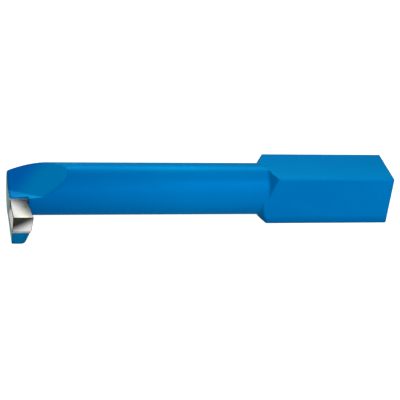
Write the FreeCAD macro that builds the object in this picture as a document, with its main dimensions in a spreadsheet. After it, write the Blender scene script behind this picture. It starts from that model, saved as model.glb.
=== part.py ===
import FreeCAD, Part
import math
import os
import Sketcher

# Internal grooving tool: a square steel shank turned down to a long round neck, with a hooked
# head that carries a brazed carbide tip.
# Frame: +X runs from the head to the rear of the shank, -Y is the side of the hook, +Z is up.
# The origin is the centre of the shank's underside. Lengths are in mm, angles in degrees.

doc = FreeCAD.newDocument("grooving_tool")

SIZES = [
    ("shank_side", 16.0, "side of the square shank"),
    ("shank_length", 39.0, "square part, from the shoulder's corners to the rear end"),
    ("shank_corner", 0.6, "radius of the four long edges of the shank"),
    ("rear_bevel", 0.3, "bevel around the rear end"),
    ("neck_diameter", 15.9, "turned neck"),
    ("neck_length", 77.0, "from the end face of the head to the foot of the shoulder"),
    ("shoulder_slope", 56.0, "flank of the shoulder cone from the neck's axis"),
    ("long_corner", 1.8, "extra length of the neck at the corner between top and hook side"),
    ("edge_reach", 19.45, "cutting edge in front of the neck's axis"),
    ("edge_height", 1.8, "cutting edge above the neck's axis"),
    ("rake", 7.0, "fall of the tip's top face from the edge to its rear"),
    ("tip_length", 13.0, "tip from the edge to its rear face, seen from above"),
    ("tip_width", 5.9, "cutting edge"),
    ("tip_thickness", 5.3, "tip, square to its top face"),
    ("tip_narrowing", 3.8, "angle at which the tip narrows to its rear"),
    ("tip_front_relief", 7.5, "front face of the tip from the vertical"),
    ("tip_side_relief", 4.0, "inner side of the tip from the vertical"),
    ("braze_gap", 0.25, "thickness of the braze under and behind the tip"),
    ("hook_width", 5.1, "steel of the hook at the level of the tip's seat"),
    ("hook_side_relief", 17.5, "inner side of the hook from the vertical"),
    ("hook_front_relief", 8.0, "front of the hook from the vertical"),
    ("hook_setback", 0.2, "steel behind the lower front edge of the tip"),
    ("hook_corner", 1.4, "radius of the hook's lower inner corner"),
    ("hook_toe", 0.5, "radius of the hook's lower outer corner"),
    ("valley_back", 0.9, "bottom of the ground notch behind the neck's axis, at the end face"),
    ("valley_drop", 0.85, "bottom of the ground notch below the neck's axis, at the end face"),
    ("valley_heading", 41.0, "run of the notch's bottom towards the hook side, seen from above"),
    ("valley_climb", 10.5, "climb of the notch's bottom"),
    ("ramp_slope", 21.0, "rear flank of the notch, in the end face"),
    ("facet_slope", 8.5, "front flank of the notch, in the end face"),
    ("ramp_rounding", 1.2, "radius between the ramp and the end face"),
]

sheet = doc.addObject("Spreadsheet::Sheet", "Sizes")
for row, (alias, value, meaning) in enumerate(SIZES, start=1):
    sheet.set("A%d" % row, alias)
    sheet.set("B%d" % row, "%g" % value)
    sheet.set("C%d" % row, meaning)
    sheet.setAlias("B%d" % row, alias)
doc.recompute()


def size(text):
    """Put the sheet's name before every alias in an expression."""
    for alias in sorted((entry[0] for entry in SIZES), key=len, reverse=True):
        text = text.replace("@" + alias, "Sizes." + alias)
    return text


# Places along and across the tool that several features share.
AXIS = "(@shank_side / 2)"
REAR = "(@shank_length / 2)"
CORNER_RADIUS = "(@shank_side / sqrt(2) - @shank_corner * (sqrt(2) - 1))"
SHOULDER_RUN = "((%s - @neck_diameter / 2) / tan(@shoulder_slope))" % CORNER_RADIUS
FOOT = "(-@shank_length / 2 - %s)" % SHOULDER_RUN
HEAD = "(%s - @neck_length)" % FOOT

# Side view of the tip, in Y and Z: its edge, its rear and the thickness below them.
EDGE_Y = "(-@edge_reach)"
EDGE_Z = "(%s + @edge_height)" % AXIS
REAR_Y = "(%s + @tip_length)" % EDGE_Y
REAR_Z = "(%s - @tip_length * tan(@rake))" % EDGE_Z
LEAN_Y = "(@tip_thickness * sin(@rake))"
LEAN_Z = "(@tip_thickness * cos(@rake))"
BASE_REAR_Y = "(%s - %s)" % (REAR_Y, LEAN_Y)
BASE_REAR_Z = "(%s - %s)" % (REAR_Z, LEAN_Z)
# The tip's front face leans back under the edge until it meets the base.
FACE_DROP = "(@tip_thickness / (cos(@rake) * (1 + tan(@rake) * tan(@tip_front_relief))))"
BASE_FRONT_Y = "(%s + %s * tan(@tip_front_relief))" % (EDGE_Y, FACE_DROP)
BASE_FRONT_Z = "(%s - %s)" % (EDGE_Z, FACE_DROP)
# The seat lies one braze thickness below the base and behind the rear face.
SEAT_REAR_Y = "(%s + @braze_gap * (cos(@rake) - sin(@rake)))" % BASE_REAR_Y
SEAT_REAR_Z = "(%s - @braze_gap * (cos(@rake) + sin(@rake)))" % BASE_REAR_Z
WALL_TOP_Y = "(%s + @braze_gap * cos(@rake))" % REAR_Y
WALL_TOP_Z = "(%s - @braze_gap * sin(@rake))" % REAR_Z


def plane_of(body, role):
    for item in body.Origin.OriginFeatures:
        if item.Role == role:
            return item
    raise RuntimeError("no plane " + role)


def sketch_on(body, name, role, along="0", up="0"):
    """An empty sketch on an origin plane, moved along its normal and up its local Y."""
    sketch = body.newObject("Sketcher::SketchObject", name)
    sketch.AttachmentSupport = [(plane_of(body, role), "")]
    sketch.MapMode = "FlatFace"
    sketch.setExpression("AttachmentOffset.Base.z", size(along))
    sketch.setExpression("AttachmentOffset.Base.y", size(up))
    doc.recompute()
    return sketch


def polygon(sketch, corners):
    """A closed outline; each corner is held by its two distances from the sketch's origin."""
    count = len(corners)
    turn = 2 * math.pi / count
    start = [FreeCAD.Vector(5 * math.cos(i * turn), 5 * math.sin(i * turn), 0) for i in range(count)]
    for i in range(count):
        sketch.addGeometry(Part.LineSegment(start[i], start[(i + 1) % count]), False)
    for i in range(count):
        sketch.addConstraint(Sketcher.Constraint("Coincident", i, 2, (i + 1) % count, 1))
    for i, (across, up) in enumerate(corners):
        for kind, text in (("DistanceX", across), ("DistanceY", up)):
            value = start[i].x if kind == "DistanceX" else start[i].y
            index = sketch.addConstraint(Sketcher.Constraint(kind, -1, 1, i, 1, value))
            sketch.setExpression("Constraints[%d]" % index, size(text))
    doc.recompute()
    return sketch


def circle(sketch, diameter):
    ring = sketch.addGeometry(Part.Circle(FreeCAD.Vector(0, 0, 0), FreeCAD.Vector(0, 0, 1), 5), False)
    sketch.addConstraint(Sketcher.Constraint("Coincident", ring, 3, -1, 1))
    index = sketch.addConstraint(Sketcher.Constraint("Diameter", ring, 10.0))
    sketch.setExpression("Constraints[%d]" % index, size(diameter))
    doc.recompute()
    return sketch


def feature(body, kind, name, profile, **settings):
    item = body.newObject("PartDesign::" + kind, name)
    item.Profile = profile
    for key, value in settings.items():
        if isinstance(value, str) and "@" in value:
            item.setExpression(key.replace("__", "."), size(value))
        else:
            setattr(item, key, value)
    profile.Visibility = False
    doc.recompute()
    return item


def must_cut(before, after):
    """A cut that points away from the solid removes nothing, so the volumes are compared."""
    if not after.Shape.Volume < before.Shape.Volume - 1e-3:
        raise RuntimeError(after.Name + " removes nothing")


def must_add(before, after):
    if not after.Shape.Volume > before.Shape.Volume + 1e-3:
        raise RuntimeError(after.Name + " adds nothing")


def edges_where(shape, test):
    return ["Edge%d" % (i + 1) for i, edge in enumerate(shape.Edges) if test(edge)]


def middle(edge):
    return edge.valueAt((edge.FirstParameter + edge.LastParameter) / 2)


def is_straight(edge, axis):
    if edge.Curve.TypeId != "Part::GeomLine":
        return False
    return abs(abs(edge.Curve.Direction.dot(axis)) - 1) < 1e-6


X_AXIS = FreeCAD.Vector(1, 0, 0)
Y_AXIS = FreeCAD.Vector(0, 1, 0)

# The steel body, in one piece.
body = doc.addObject("PartDesign::Body", "tool_body")
body.Label = "tool_body"
body.Placement = FreeCAD.Placement()

# The hook: a block that stands out to the -Y side, flat underneath in the plane of the shank's
# underside and narrower at its foot than at the seat of the tip.
FRONT_TOP_Y = "(%s + @hook_setback)" % BASE_FRONT_Y
FRONT_TOP_Z = "(%s + (%s - %s) * tan(@rake))" % (SEAT_REAR_Z, SEAT_REAR_Y, FRONT_TOP_Y)
FOOT_WIDTH = "(@hook_width - %s * tan(@hook_side_relief))" % FRONT_TOP_Z
TOP_WIDTH = "(@hook_width + %s * tan(@hook_side_relief))" % FRONT_TOP_Z
front_view = polygon(
    sketch_on(body, "hook_front_view", "XZ_Plane"),
    [(HEAD, "0"), ("%s + %s" % (HEAD, FOOT_WIDTH), "0"),
     ("%s + %s" % (HEAD, TOP_WIDTH), "2 * %s" % FRONT_TOP_Z), (HEAD, "2 * %s" % FRONT_TOP_Z)])
block = feature(body, "Pad", "hook_block", front_view, Length="@edge_reach")

head_x = min(vertex.X for vertex in block.Shape.Vertexes)
for name, radius, is_outer in (("hook_inner_corner", "@hook_corner", False),
                               ("hook_outer_corner", "@hook_toe", True)):
    lower = edges_where(block.Shape, lambda edge: is_straight(edge, Y_AXIS)
                        and middle(edge).z < 1e-6
                        and (abs(middle(edge).x - head_x) < 1e-6) == is_outer)
    rounded = body.newObject("PartDesign::Fillet", name)
    rounded.Base = (block, lower)
    rounded.setExpression("Radius", size(radius))
    doc.recompute()
    must_cut(block, rounded)
    block = rounded

# Front of the hook, leaning back under the tip; its top is the seat, the wall behind the tip and
# a land that carries on the slope of the tip's top face.
side_cut = polygon(
    sketch_on(body, "hook_side_cut", "YZ_Plane", along="%s - 1" % HEAD),
    [("%s + 2 * %s * tan(@hook_front_relief)" % (FRONT_TOP_Y, FRONT_TOP_Z), "-%s" % FRONT_TOP_Z),
     (FRONT_TOP_Y, FRONT_TOP_Z), (SEAT_REAR_Y, SEAT_REAR_Z), (WALL_TOP_Y, WALL_TOP_Z),
     ("@edge_reach", "%s + (%s - @edge_reach) * tan(@rake)" % (WALL_TOP_Z, WALL_TOP_Y)),
     ("@edge_reach", "@shank_side"), ("-@edge_reach - 10", "@shank_side"),
     ("-@edge_reach - 10", "-%s" % FRONT_TOP_Z)])
hook = feature(body, "Pocket", "hook_front_and_top", side_cut,
               Length="@shank_side + 1", Reversed=True)
must_cut(block, hook)

# Round neck from the end face of the head to the foot of the shoulder.
ring = circle(sketch_on(body, "neck_section", "YZ_Plane", along=HEAD, up=AXIS), "@neck_diameter")
neck = feature(body, "Pad", "neck", ring, Length="@neck_length")
must_add(hook, neck)

# Square bar behind the neck, with rounded long edges and a bevel around its rear end.
square = polygon(
    sketch_on(body, "bar_section", "YZ_Plane", along=FOOT),
    [("-@shank_side / 2", "0"), ("@shank_side / 2", "0"),
     ("@shank_side / 2", "@shank_side"), ("-@shank_side / 2", "@shank_side")])
bar = feature(body, "Pad", "bar", square, Length="%s - %s" % (REAR, FOOT))
must_add(neck, bar)

rear_x = sheet.get("shank_length") / 2
long_edges = edges_where(bar.Shape, lambda edge: is_straight(edge, X_AXIS)
                         and abs(edge.BoundBox.XMax - rear_x) < 1e-6)
bar_edges = body.newObject("PartDesign::Fillet", "bar_edges")
bar_edges.Base = (bar, long_edges)
bar_edges.setExpression("Radius", size("@shank_corner"))
doc.recompute()
must_cut(bar, bar_edges)

rear_edges = edges_where(bar_edges.Shape, lambda edge: abs(middle(edge).x - rear_x) < 1e-6
                         and abs(edge.BoundBox.XLength) < 1e-6)
rear_end = body.newObject("PartDesign::Chamfer", "rear_end")
rear_end.Base = (bar_edges, rear_edges)
rear_end.setExpression("Size", size("@rear_bevel"))
doc.recompute()
must_cut(bar_edges, rear_end)

# Turned shoulder: a cone that only reaches the four corners of the bar.
cone = polygon(
    sketch_on(body, "shoulder_profile", "XZ_Plane", up=AXIS),
    [(FOOT, "@neck_diameter / 2"),
     ("%s + @shank_side / tan(@shoulder_slope)" % FOOT, "@neck_diameter / 2 + @shank_side"),
     (FOOT, "@neck_diameter / 2 + @shank_side")])
shoulder = feature(body, "Groove", "shoulder", cone, ReferenceAxis=(cone, ["H_Axis"]), Angle=360.0)
must_cut(rear_end, shoulder)

# On the corner between the top and the hook side the neck runs a little further back.
longer = polygon(
    sketch_on(body, "long_corner_profile", "XZ_Plane", up=AXIS),
    [(FOOT, "@neck_diameter / 2"),
     ("%s + @long_corner" % FOOT, "@neck_diameter / 2"),
     ("%s + @long_corner + @shank_side / tan(@shoulder_slope)" % FOOT,
      "@neck_diameter / 2 + @shank_side"),
     (FOOT, "@neck_diameter / 2 + @shank_side")])
long_corner = feature(body, "Groove", "long_corner", longer,
                      ReferenceAxis=(longer, ["H_Axis"]), Angle=90.0)
must_cut(shoulder, long_corner)

# Seat of the tip: a step across the hook, open to the end face and to the front, with an
# inner wall that follows the narrowing of the tip.
seat_view = polygon(
    sketch_on(body, "seat_side_view", "YZ_Plane", along=HEAD),
    [(SEAT_REAR_Y, SEAT_REAR_Z),
     ("%s - @edge_reach * cos(@rake)" % SEAT_REAR_Y, "%s + @edge_reach * sin(@rake)" % SEAT_REAR_Z),
     ("-@edge_reach - 10", "@shank_side * 2"),
     ("%s + @shank_side * 2 * tan(@rake)" % SEAT_REAR_Y, "%s + @shank_side * 2" % SEAT_REAR_Z)])
SEAT_REACH = "(@tip_width - @tip_length * tan(@tip_narrowing) + @braze_gap)"
seat = feature(body, "Pocket", "tip_seat", seat_view, Length=SEAT_REACH, Reversed=True)

# The notch ground across the head above the tip: a V whose bottom climbs from the end face
# towards the hook side, with a long rear flank (the ramp) and a low front flank (the facet).
SPAN = "(@shank_side * 2.5)"
notch_view = polygon(
    sketch_on(body, "notch_section", "YZ_Plane", along=HEAD),
    [("@valley_back", "%s - @valley_drop" % AXIS),
     ("@valley_back + %s" % SPAN, "%s - @valley_drop + %s * tan(@ramp_slope)" % (AXIS, SPAN)),
     ("@valley_back + %s" % SPAN, "%s + %s" % (AXIS, SPAN)),
     ("@valley_back - %s" % SPAN, "%s + %s" % (AXIS, SPAN)),
     ("@valley_back - %s" % SPAN, "%s - @valley_drop + %s * tan(@facet_slope)" % (AXIS, SPAN))])
notch = feature(body, "Pocket", "head_notch", notch_view,
                UseCustomVector=True, AlongSketchNormal=True,
                Direction__x="cos(@valley_heading) * cos(@valley_climb)",
                Direction__y="-sin(@valley_heading) * cos(@valley_climb)",
                Direction__z="sin(@valley_climb)",
                Length="@shank_side * 2")
must_cut(seat, notch)

# The edge between the ramp and the end face is rounded; it runs along the slope of the ramp.
slope = math.radians(sheet.get("ramp_slope"))
along_ramp = FreeCAD.Vector(0, math.cos(slope), math.sin(slope))
ramp_edge = edges_where(notch.Shape, lambda edge: is_straight(edge, along_ramp)
                        and abs(middle(edge).x - head_x) < 1e-6)
ramp_round = body.newObject("PartDesign::Fillet", "ramp_rounding")
ramp_round.Base = (notch, ramp_edge)
ramp_round.setExpression("Radius", size("@ramp_rounding"))
doc.recompute()
must_cut(notch, ramp_round)

# The carbide tip.
tip_body = doc.addObject("PartDesign::Body", "carbide_tip")
tip_body.Label = "carbide_tip"
tip_body.Placement = FreeCAD.Placement()
tip_view = polygon(
    sketch_on(tip_body, "tip_side_view", "YZ_Plane", along=HEAD),
    [(EDGE_Y, EDGE_Z), (REAR_Y, REAR_Z), (BASE_REAR_Y, BASE_REAR_Z),
     (BASE_FRONT_Y, BASE_FRONT_Z)])
tip_blank = feature(tip_body, "Pad", "tip_blank", tip_view, Length="@tip_width + 0.01")
# Inner side of the tip: it narrows towards the rear and falls away below the edge.
inner_view = polygon(
    sketch_on(tip_body, "tip_inner_side", "XZ_Plane", along="@edge_reach", up=EDGE_Z),
    [("%s + @tip_width + @edge_reach * tan(@tip_side_relief)" % HEAD, "@edge_reach"),
     ("%s + @tip_width - @edge_reach * tan(@tip_side_relief)" % HEAD, "-@edge_reach"),
     ("%s + @tip_width + @edge_reach" % HEAD, "-@edge_reach"),
     ("%s + @tip_width + @edge_reach" % HEAD, "@edge_reach")])
tip_side = feature(tip_body, "Pocket", "tip_side", inner_view,
                   UseCustomVector=True, AlongSketchNormal=True, Direction=Y_AXIS,
                   Direction__x="-sin(@tip_narrowing)", Direction__y="cos(@tip_narrowing)",
                   Length="@tip_length * 1.5")
must_cut(tip_blank, tip_side)

# The braze under and behind the tip.
braze_body = doc.addObject("PartDesign::Body", "braze_seam")
braze_body.Label = "braze_seam"
braze_body.Placement = FreeCAD.Placement()
braze_view = polygon(
    sketch_on(braze_body, "braze_side_view", "YZ_Plane", along=HEAD),
    [(REAR_Y, REAR_Z), (BASE_REAR_Y, BASE_REAR_Z), (BASE_FRONT_Y, BASE_FRONT_Z),
     (FRONT_TOP_Y, FRONT_TOP_Z),
     (SEAT_REAR_Y, SEAT_REAR_Z), (WALL_TOP_Y, WALL_TOP_Z)])
braze = feature(braze_body, "Pad", "braze", braze_view, Length=SEAT_REACH)

# Every feature must be sound before the pieces are saved.
doc.recompute()
for item in doc.Objects:
    if "Invalid" in item.State or "Error" in item.State:
        raise RuntimeError("%s is in state %s" % (item.Name, item.State))
os.makedirs("parts", exist_ok=True)
for item in (body, tip_body, braze_body):
    shape = item.Shape
    if shape.isNull() or not shape.isValid() or len(shape.Solids) != 1:
        raise RuntimeError("%s is not one sound solid" % item.Label)
    shape.exportStep("parts/%s.step" % item.Label)
    print(item.Label, round(shape.Volume, 2), shape.BoundBox)
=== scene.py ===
import math

import bpy
from mathutils import Matrix, Vector


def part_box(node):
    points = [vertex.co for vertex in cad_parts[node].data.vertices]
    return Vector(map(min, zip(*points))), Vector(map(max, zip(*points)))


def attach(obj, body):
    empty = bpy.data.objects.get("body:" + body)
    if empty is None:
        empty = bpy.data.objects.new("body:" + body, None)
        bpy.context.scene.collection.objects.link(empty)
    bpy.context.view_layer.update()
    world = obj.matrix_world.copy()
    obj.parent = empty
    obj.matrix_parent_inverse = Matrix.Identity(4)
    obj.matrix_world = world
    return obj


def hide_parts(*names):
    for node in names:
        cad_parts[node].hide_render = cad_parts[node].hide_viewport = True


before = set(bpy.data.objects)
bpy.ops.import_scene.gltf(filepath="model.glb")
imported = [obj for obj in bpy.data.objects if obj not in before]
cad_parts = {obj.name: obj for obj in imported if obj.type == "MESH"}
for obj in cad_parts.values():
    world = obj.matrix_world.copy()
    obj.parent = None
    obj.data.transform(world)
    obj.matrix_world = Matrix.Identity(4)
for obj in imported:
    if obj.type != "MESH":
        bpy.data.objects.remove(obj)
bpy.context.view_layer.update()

MM = 0.001
BODY_LOW, BODY_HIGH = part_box("tool_body")
HEAD_X = BODY_LOW[0]
HOOK_FRONT_Y = BODY_LOW[1]
SHANK_SIDE = BODY_HIGH[2]
# The shaping of the head ends before HEAD_END; the facet above the tip lies above FACET_LOW_Z.
HEAD_END = HEAD_X + 20 * MM
FACET_LOW_Z = SHANK_SIDE * 0.45
HEAD_BEVEL = 0.12 * MM
HONED_BEVEL = 0.16 * MM
DULLED_BEVEL = 0.03 * MM

# Colours that every enamel shares: a painted highlight on the top edge of the shank, and the burnt
# hook, with painted shade on its inner side; and the colour of burnt flux.
PAINTED_TOP_EDGE_HIGHLIGHT = (0.000, 0.178, 0.470)
BURNT_NEAR_END_FACE = (0.000, 0.130, 0.305)
BURNT_AND_SHADED_INNER_SIDE = (0.000, 0.088, 0.205)
FLUX_BROWN = (0.10, 0.085, 0.035)


# Choosing and shaping

def only(piece):
    """Make one object the only selected and active one."""
    bpy.ops.object.select_all(action="DESELECT")
    piece.select_set(True)
    bpy.context.view_layer.objects.active = piece


def welded_copy(node, name):
    """A copy of a solid with its loose triangles joined and its flat faces in one piece."""
    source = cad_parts[node]
    piece = source.copy()
    piece.data = source.data.copy()
    piece.name = name
    piece.data.name = name
    piece.parent = None
    piece.matrix_world = Matrix.Identity(4)
    piece.data.materials.clear()
    bpy.context.collection.objects.link(piece)
    only(piece)
    if piece.data.has_custom_normals:
        bpy.ops.mesh.customdata_custom_splitnormals_clear()
    bpy.ops.object.mode_set(mode="EDIT")
    bpy.ops.mesh.select_all(action="SELECT")
    bpy.ops.mesh.remove_doubles(threshold=0.002 * MM)
    bpy.ops.mesh.dissolve_limited(angle_limit=math.radians(0.2))
    bpy.ops.object.mode_set(mode="OBJECT")
    return piece


def soften_edges(piece, wanted, width, segments=3, material=-1):
    """Bevel the sharp edges whose middle passes the test."""
    only(piece)
    bpy.ops.object.mode_set(mode="EDIT")
    bpy.ops.mesh.select_mode(type="EDGE")
    bpy.ops.mesh.select_all(action="DESELECT")
    bpy.ops.mesh.edges_select_sharp(sharpness=math.radians(24))
    bpy.ops.object.mode_set(mode="OBJECT")
    points = piece.data.vertices
    for edge in piece.data.edges:
        a, b = (points[i].co for i in edge.vertices)
        if edge.select and not wanted((a + b) / 2, b - a):
            edge.select = False
    bpy.ops.object.mode_set(mode="EDIT")
    bpy.ops.mesh.bevel(offset=width, segments=segments, profile=0.5, affect="EDGES",
                       clamp_overlap=True, material=material)
    bpy.ops.object.mode_set(mode="OBJECT")


def smooth(piece, degrees=30):
    only(piece)
    bpy.ops.object.shade_smooth_by_angle(angle=math.radians(degrees))


# Materials

class Finish:
    """A material with one main shader, and short names for the nodes that feed it."""

    def __init__(self, name):
        self.material = bpy.data.materials.new(name)
        self.material.use_nodes = True
        self.tree = self.material.node_tree
        self.shader = self.tree.nodes["Principled BSDF"]
        self.place = self.add("ShaderNodeTexCoord").outputs["Object"]

    def add(self, kind, **values):
        node = self.tree.nodes.new(kind)
        for key, value in values.items():
            setattr(node, key, value)
        return node

    def join(self, output, target):
        self.tree.links.new(output, target)

    def set(self, **values):
        for key, value in values.items():
            self.shader.inputs[key.replace("_", " ")].default_value = value

    def noise(self, scale, detail=3.0, stretch=(1, 1, 1), roughness=0.5):
        mapping = self.add("ShaderNodeMapping")
        mapping.inputs["Scale"].default_value = stretch
        self.join(self.place, mapping.inputs["Vector"])
        node = self.add("ShaderNodeTexNoise")
        node.inputs["Scale"].default_value = scale
        node.inputs["Detail"].default_value = detail
        node.inputs["Roughness"].default_value = roughness
        self.join(mapping.outputs["Vector"], node.inputs["Vector"])
        return node.outputs["Fac"]

    def steps(self, value, low, high, to_low=0.0, to_high=1.0):
        node = self.add("ShaderNodeMapRange", interpolation_type="SMOOTHSTEP")
        node.inputs["From Min"].default_value = low
        node.inputs["From Max"].default_value = high
        node.inputs["To Min"].default_value = to_low
        node.inputs["To Max"].default_value = to_high
        self.join(value, node.inputs["Value"])
        return node.outputs["Result"]

    def blend(self, factor, first, second):
        node = self.add("ShaderNodeMix", data_type="RGBA")
        self.join(factor, node.inputs["Factor"])
        for value, name in ((first, "A"), (second, "B")):
            socket = [s for s in node.inputs if s.name == name and s.type == "RGBA"][0]
            if isinstance(value, (tuple, list)):
                socket.default_value = (*value, 1.0)
            else:
                self.join(value, socket)
        return [s for s in node.outputs if s.type == "RGBA"][0]

    def maths(self, operation, first, second, third=None, clamp=False):
        node = self.add("ShaderNodeMath", operation=operation, use_clamp=clamp)
        for value, socket in zip((first, second, third), node.inputs):
            if isinstance(value, (int, float)):
                socket.default_value = value
            elif value is not None:
                self.join(value, socket)
        return node.outputs["Value"]

    def axis(self, letter):
        node = self.add("ShaderNodeSeparateXYZ")
        self.join(self.place, node.inputs["Vector"])
        return node.outputs[letter]

    def along(self, direction):
        """Distance from the origin along a fixed direction of the part."""
        node = self.add("ShaderNodeVectorMath", operation="DOT_PRODUCT")
        self.join(self.place, node.inputs[0])
        node.inputs[1].default_value = direction
        return node.outputs["Value"]

    def from_axis(self, height):
        """Distance from the neck's axis, which runs along X at this height."""
        across = self.add("ShaderNodeVectorMath", operation="MULTIPLY")
        self.join(self.place, across.inputs[0])
        across.inputs[1].default_value = (0, 1, 1)
        node = self.add("ShaderNodeVectorMath", operation="DISTANCE")
        self.join(across.outputs["Vector"], node.inputs[0])
        node.inputs[1].default_value = (0, 0, height)
        return node.outputs["Value"]

    def darker(self, colour, factor):
        node = self.add("ShaderNodeVectorMath", operation="SCALE")
        self.join(colour, node.inputs[0])
        self.join(factor, node.inputs["Scale"])
        return node.outputs["Vector"]

    def bump(self, height, strength, distance, rounding=0.0):
        node = self.add("ShaderNodeBump")
        if rounding:
            edges = self.add("ShaderNodeBevel", samples=8)
            edges.inputs["Radius"].default_value = rounding
            self.join(edges.outputs["Normal"], node.inputs["Normal"])
        node.inputs["Strength"].default_value = strength
        node.inputs["Distance"].default_value = distance
        self.join(height, node.inputs["Height"])
        self.join(node.outputs["Normal"], self.shader.inputs["Normal"])


def blue_enamel(name, cloud_dark, cloud_light, painted_shade_at_head, away, low, high, painted_rim_shade=None):
    """Satin blue enamel: slightly cloudy, with painted shade at the head, and burnt on the hook with
    painted shade on its inner side.

    The painted shade at the head fades out between the distances low and high along the direction away.
    A flank of the notch takes a darker painted shade where it runs out into the neck on the hook side.
    """
    paint = Finish(name)
    clouds = paint.steps(paint.noise(55, detail=4), 0.3, 0.7)
    colour = paint.blend(clouds, cloud_dark, cloud_light)
    # Painted highlight: lighter towards the long front edge of the shank's top.
    on_top = paint.steps(paint.axis("Z"), SHANK_SIDE - 0.4 * MM, SHANK_SIDE - 0.1 * MM)
    to_front = paint.steps(paint.axis("Y"), -8 * MM, 2 * MM, 1.0, 0.0)
    colour = paint.blend(paint.maths("MULTIPLY", on_top, to_front), colour, PAINTED_TOP_EDGE_HIGHLIGHT)
    # Painted shade at the head, fading out along the direction away.
    colour = paint.blend(paint.steps(paint.along(away), low, high), painted_shade_at_head, colour)
    # Painted shade on the flank of the notch, near its rim on the hook side.
    if painted_rim_shade:
        near_rim = paint.steps(paint.from_axis(SHANK_SIDE / 2), 6.6 * MM, 7.9 * MM)
        hook_side = paint.steps(paint.axis("Y"), -7 * MM, -4 * MM, 1.0, 0.0)
        colour = paint.blend(paint.maths("MULTIPLY", near_rim, hook_side), colour, painted_rim_shade)
    # Painted shade: darker towards the underside.
    colour = paint.darker(colour, paint.steps(paint.axis("Z"), 0.6 * MM, 3.5 * MM, 0.76, 1.0))
    # Burnt on the hook, with a ragged limit, and darker on its inner side with painted shade.
    ragged = paint.maths("MULTIPLY_ADD", paint.noise(300, detail=4), 3 * MM, paint.axis("Y"))
    on_hook = paint.steps(ragged, HOOK_FRONT_Y + 3 * MM, HOOK_FRONT_Y + 8 * MM)
    inner_side = paint.steps(paint.axis("X"), HEAD_X + 2.5 * MM, HEAD_X + 5.5 * MM)
    burnt = paint.blend(inner_side, BURNT_NEAR_END_FACE, BURNT_AND_SHADED_INNER_SIDE)
    colour = paint.blend(on_hook, burnt, colour)
    paint.join(colour, paint.shader.inputs["Base Color"])
    dull = paint.steps(paint.noise(140, detail=5, stretch=(0.4, 1, 1)), 0.25, 0.75, 0.36, 0.44)
    paint.join(dull, paint.shader.inputs["Roughness"])
    # The enamel runs round the edges and fills the corners a little.
    peel = paint.noise(900, detail=2)
    paint.bump(peel, strength=0.05, distance=0.12 * MM, rounding=1.2 * MM)
    paint.set(Metallic=0.28, Specular_IOR_Level=0.006, Specular_Tint=(0.0, 1.0, 0.45, 1.0), IOR=1.4)
    return paint.material


def ground_steel():
    """Bare end face: fine parallel grinding marks, faintly green-grey from oil."""
    steel = Finish("ground_steel")
    marks = steel.noise(1500, detail=6, stretch=(1, 0.06, 1), roughness=0.7)
    colour = steel.blend(steel.steps(marks, 0.35, 0.65), (0.12, 0.33, 0.30), (0.20, 0.46, 0.42))
    steel.join(colour, steel.shader.inputs["Base Color"])
    steel.join(steel.steps(marks, 0.3, 0.7, 0.4, 0.55), steel.shader.inputs["Roughness"])
    steel.bump(marks, strength=0.15, distance=0.03 * MM)
    steel.set(Metallic=0.75)
    return steel.material


def ground_carbide(name, dark, light, across, low, high, rough=0.3, stain=None,
                   marks_along=(0.07, 1, 1), metallic=0.7, specular=0.5):
    """Diamond-ground carbide: fine parallel marks, and a painted shade and highlight that change along a
    direction.

    The colour goes from dark to light between the values low and high along the direction across.
    """
    carbide = Finish(name)
    marks = carbide.noise(2600, detail=6, stretch=marks_along, roughness=0.7)
    shade = carbide.steps(carbide.along(across), low, high)
    fine = carbide.maths("MULTIPLY_ADD", marks, 0.16, -0.08)
    colour = carbide.blend(carbide.maths("ADD", shade, fine, clamp=True), dark, light)
    if stain:
        away = carbide.add("ShaderNodeVectorMath", operation="DISTANCE")
        carbide.join(carbide.place, away.inputs[0])
        away.inputs[1].default_value = stain
        ragged = carbide.maths("MULTIPLY_ADD", carbide.noise(1800, detail=4), 0.5 * MM,
                               away.outputs["Value"])
        colour = carbide.blend(carbide.steps(ragged, 0.4 * MM, 1.5 * MM), FLUX_BROWN, colour)
    carbide.join(colour, carbide.shader.inputs["Base Color"])
    carbide.join(carbide.steps(marks, 0.3, 0.7, rough - 0.06, rough + 0.06),
                 carbide.shader.inputs["Roughness"])
    carbide.bump(marks, strength=0.1, distance=0.02 * MM)
    carbide.set(Metallic=metallic, Specular_IOR_Level=specular)
    return carbide.material


def dull_braze():
    """Braze metal: pale yellow, darkened in patches by flux."""
    braze = Finish("dull_braze")
    patches = braze.steps(braze.noise(700, detail=5), 0.35, 0.7)
    colour = braze.blend(patches, (0.66, 0.63, 0.52), (0.38, 0.33, 0.22))
    braze.join(colour, braze.shader.inputs["Base Color"])
    braze.join(braze.steps(patches, 0.0, 1.0, 0.3, 0.55), braze.shader.inputs["Roughness"])
    braze.bump(braze.noise(2500, detail=4), strength=0.3, distance=0.05 * MM)
    braze.set(Metallic=0.5)
    return braze.material


# Steel body

enamel = blue_enamel("blue_enamel", (0.000, 0.152, 0.440), (0.000, 0.162, 0.460),
                     painted_shade_at_head=(0.000, 0.116, 0.370), away=(1, 0, 0),
                     low=HEAD_X - 5 * MM, high=HEAD_X + 60 * MM)
# Painted light: lighter copies of the enamel for the two flanks of the notch.
ramp_enamel_painted_light = blue_enamel("ramp_enamel_painted_light", (0.000, 0.190, 0.490), (0.000, 0.200, 0.510),
                          painted_shade_at_head=(0.000, 0.112, 0.450), away=(1, -1.3, 0),
                          low=HEAD_X - 3 * MM, high=HEAD_X + 11 * MM,
                          painted_rim_shade=(0.000, 0.150, 0.430))
facet_enamel_painted_light = blue_enamel("facet_enamel_painted_light", (0.000, 0.225, 0.550), (0.000, 0.235, 0.570),
                           painted_shade_at_head=(0.000, 0.150, 0.475), away=(1, 0, 0),
                           low=HEAD_X, high=HEAD_X + 8 * MM)
bare = ground_steel()
braze = dull_braze()

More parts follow.
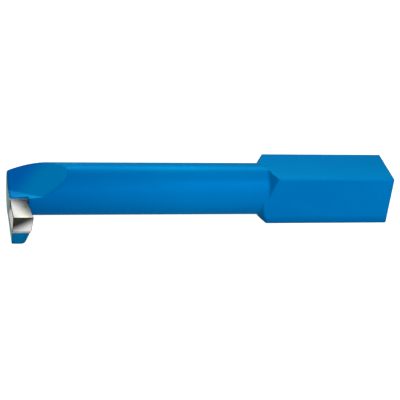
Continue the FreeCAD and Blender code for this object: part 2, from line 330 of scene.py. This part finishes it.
skin = welded_copy("tool_body", "painted_body")
soften_edges(skin, lambda mid, run: mid.x < HEAD_END and run.length > 0.2 * MM, HEAD_BEVEL)
for material in (enamel, bare, facet_enamel_painted_light, ramp_enamel_painted_light):
    skin.data.materials.append(material)
BARE, FACET, RAMP = 1, 2, 3
# The end face is bare. The two flanks of the notch are painted a lighter blue for the light they
# catch, the low one above the tip most of all.
for face in skin.data.polygons:
    on_head = face.center.x < HEAD_END
    if face.normal.x < -0.9999 and face.center.x < HEAD_X + 0.01 * MM:
        face.material_index = BARE
    elif face.normal.z > 0.95 and on_head and face.center.z > FACET_LOW_Z:
        face.material_index = FACET
    elif face.normal.z > 0.8 and face.normal.x < -0.4 and on_head:
        face.material_index = RAMP
smooth(skin)
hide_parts("tool_body")
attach(skin, "root")

# Carbide tip

tip = welded_copy("carbide_tip", "ground_tip")
tip_low, tip_high = (Vector(corner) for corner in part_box("carbide_tip"))
# Painted highlight and shade: the chip face is bright at its edge and greyer at its inner rear
# corner, and the front face is darkest at its upper outer corner.
towards_edge = Vector((-0.95, -0.55, 0.0)) / (6 * MM)
towards_foot = Vector((0.45, 0.0, -0.75)) / (5 * MM)
rear_value = towards_edge.dot(tip_high)
front_value = towards_foot.dot(Vector((tip_low.x, tip_low.y, tip_high.z)))
# A small brown spot of burnt flux is left near the right-hand side of the chip face.
flux_spot = (tip_low.x + 4.3 * MM, tip_low.y + 7.7 * MM, tip_high.z - 0.9 * MM)
chip_face = ground_carbide("carbide_chip_face", (0.050, 0.050, 0.048), (0.525, 0.52, 0.54),
                           across=towards_edge, low=rear_value + 0.33, high=rear_value + 1.98,
                           rough=0.45, stain=flux_spot)
front_face = ground_carbide("carbide_front_face", (0.025, 0.025, 0.022), (1.0, 0.98, 0.99),
                            across=towards_foot, low=front_value + 0.43, high=front_value + 1.05)
# Painted shade and highlight: the sides are dark at their upper rear and bright below; their marks run
# along the tip.
to_side_foot = Vector((0, -0.4, -0.6)) / (5 * MM)
side_value = to_side_foot.dot(Vector((tip_low.x, tip_high.y, tip_high.z)))
side_face = ground_carbide("carbide_side", (0.02, 0.02, 0.02), (1.0, 1.0, 0.98),
                           across=to_side_foot, low=side_value + 0.5, high=side_value + 0.8,
                           rough=0.4, marks_along=(1, 0.07, 1), metallic=0.0, specular=0.05)
# Painted shade: a near-black colour for the honed edges.
honed_edge_painted_shade = ground_carbide("honed_edge_painted_shade", (0.015, 0.013, 0.010), (0.03, 0.027, 0.022),
                            across=Vector((1, 0, 0)) / (6 * MM), low=0.0, high=1.0,
                            rough=0.5, metallic=0.0, specular=0.05)
for material in (chip_face, front_face, side_face, honed_edge_painted_shade):
    tip.data.materials.append(material)
CHIP, FRONT, SIDE, HONED = range(4)
for face in tip.data.polygons:
    face.material_index = CHIP if face.normal.z > 0.9 else FRONT if face.normal.y < -0.9 else SIDE
# The honed edges carry a near-black painted shade; the others are only a little dulled.
on_front = tip_low.y + 1.2 * MM
tip_middle = (tip_low + tip_high) / 2


def honed(mid):
    """True for the edges of the front face and for the outer and rear edges of the chip face."""
    return mid.y < on_front or (mid.x < tip_middle.x and mid.z > tip_middle.z + 1 * MM)


soften_edges(tip, lambda mid, run: honed(mid), HONED_BEVEL, segments=2, material=HONED)
soften_edges(tip, lambda mid, run: not honed(mid), DULLED_BEVEL, segments=2)
smooth(tip)
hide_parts("carbide_tip")
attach(tip, "root")

# Braze

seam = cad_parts["braze_seam"]
seam.data.materials.clear()
seam.data.materials.append(braze)

# Floor, light and camera

bpy.ops.object.select_all(action="DESELECT")
bpy.ops.mesh.primitive_plane_add(size=6.0, location=(0, 0, -0.02 * MM))
floor = bpy.context.active_object
floor.name = "floor"
white = Finish("white_paper")
grain = white.steps(white.noise(220, detail=3), 0.3, 0.7)
white.join(white.blend(grain, (0.27, 0.27, 0.27), (0.30, 0.30, 0.30)), white.shader.inputs["Base Color"])
white.set(Roughness=0.9, Emission_Color=(1, 1, 1, 1))
# The paper looks white but throws little light back under the tool.
seen = white.add("ShaderNodeLightPath").outputs["Is Camera Ray"]
white.join(white.steps(seen, 0.0, 1.0, 0.30, 0.95), white.shader.inputs["Emission Strength"])
floor.data.materials.append(white.material)

# The studio is a little darker on the left, at the head of the tool.
world = bpy.data.worlds.new("studio")
world.use_nodes = True
sky = world.node_tree
sides = sky.nodes.new("ShaderNodeSeparateXYZ")
shade = sky.nodes.new("ShaderNodeMapRange")
shade.interpolation_type = "SMOOTHSTEP"
shade.inputs["From Min"].default_value = -0.8
shade.inputs["From Max"].default_value = 0.6
shade.inputs["To Min"].default_value = 0.43
shade.inputs["To Max"].default_value = 0.56
sky.links.new(sky.nodes.new("ShaderNodeTexCoord").outputs["Generated"], sides.inputs["Vector"])
sky.links.new(sides.outputs["X"], shade.inputs["Value"])
sky.links.new(shade.outputs["Result"], sky.nodes["Background"].inputs["Strength"])
sky.nodes["Background"].inputs["Color"].default_value = (1.0, 1.0, 1.0, 1.0)
bpy.context.scene.world = world


def softbox(name, place, target, width, height, power):
    lamp = bpy.data.lights.new(name, "AREA")
    lamp.shape = "RECTANGLE"
    lamp.size = width
    lamp.size_y = height
    lamp.energy = power
    holder = bpy.data.objects.new(name, lamp)
    bpy.context.collection.objects.link(holder)
    holder.location = place
    holder.rotation_euler = (Vector(target) - Vector(place)).to_track_quat("-Z", "Y").to_euler()
    return holder


TOOL_MIDDLE = (-0.04, 0, 0.008)
HEAD_MIDDLE = (-0.09, 0, 0.008)
back = softbox("back_softbox", (0.02, 0.45, 0.52), TOOL_MIDDLE, width=0.25, height=0.10, power=1.42)
back.data.color = (1.0, 1.0, 0.72)
softbox("front_softbox", (0.15, -0.34, 0.47), TOOL_MIDDLE, width=0.12, height=0.09, power=0.32)
softbox("low_softbox", (-0.10, 0.45, 0.15), HEAD_MIDDLE, width=0.10, height=0.06, power=0.30)
# The large fill only lightens the front; it isn't seen as a reflection.
fill = softbox("front_fill", (0.22, -0.75, 0.46), TOOL_MIDDLE, width=1.0, height=0.4, power=7.1)
fill.visible_glossy = False

# The camera stands on the hook side, a little beyond the head, and looks down at the tool.
RIGHT = Vector((0.975615, -0.188963, 0.111661))
DOWN = Vector((-0.002186, -0.517073, -0.855939))
FORWARD = Vector((0.219478, 0.834823, -0.504877))
CAMERA_PLACE = Vector((-0.131563, -0.350341, 0.215748))
camera_data = bpy.data.cameras.new("camera")
camera_data.lens = 122.06
camera_data.sensor_width = 36.0
camera_data.clip_start = 0.01
camera = bpy.data.objects.new("camera", camera_data)
bpy.context.collection.objects.link(camera)
turn = Matrix((RIGHT, -DOWN, -FORWARD)).transposed().to_4x4()
turn.translation = CAMERA_PLACE
camera.matrix_world = turn
bpy.context.scene.camera = camera

bpy.context.scene.view_settings.view_transform = "Standard"
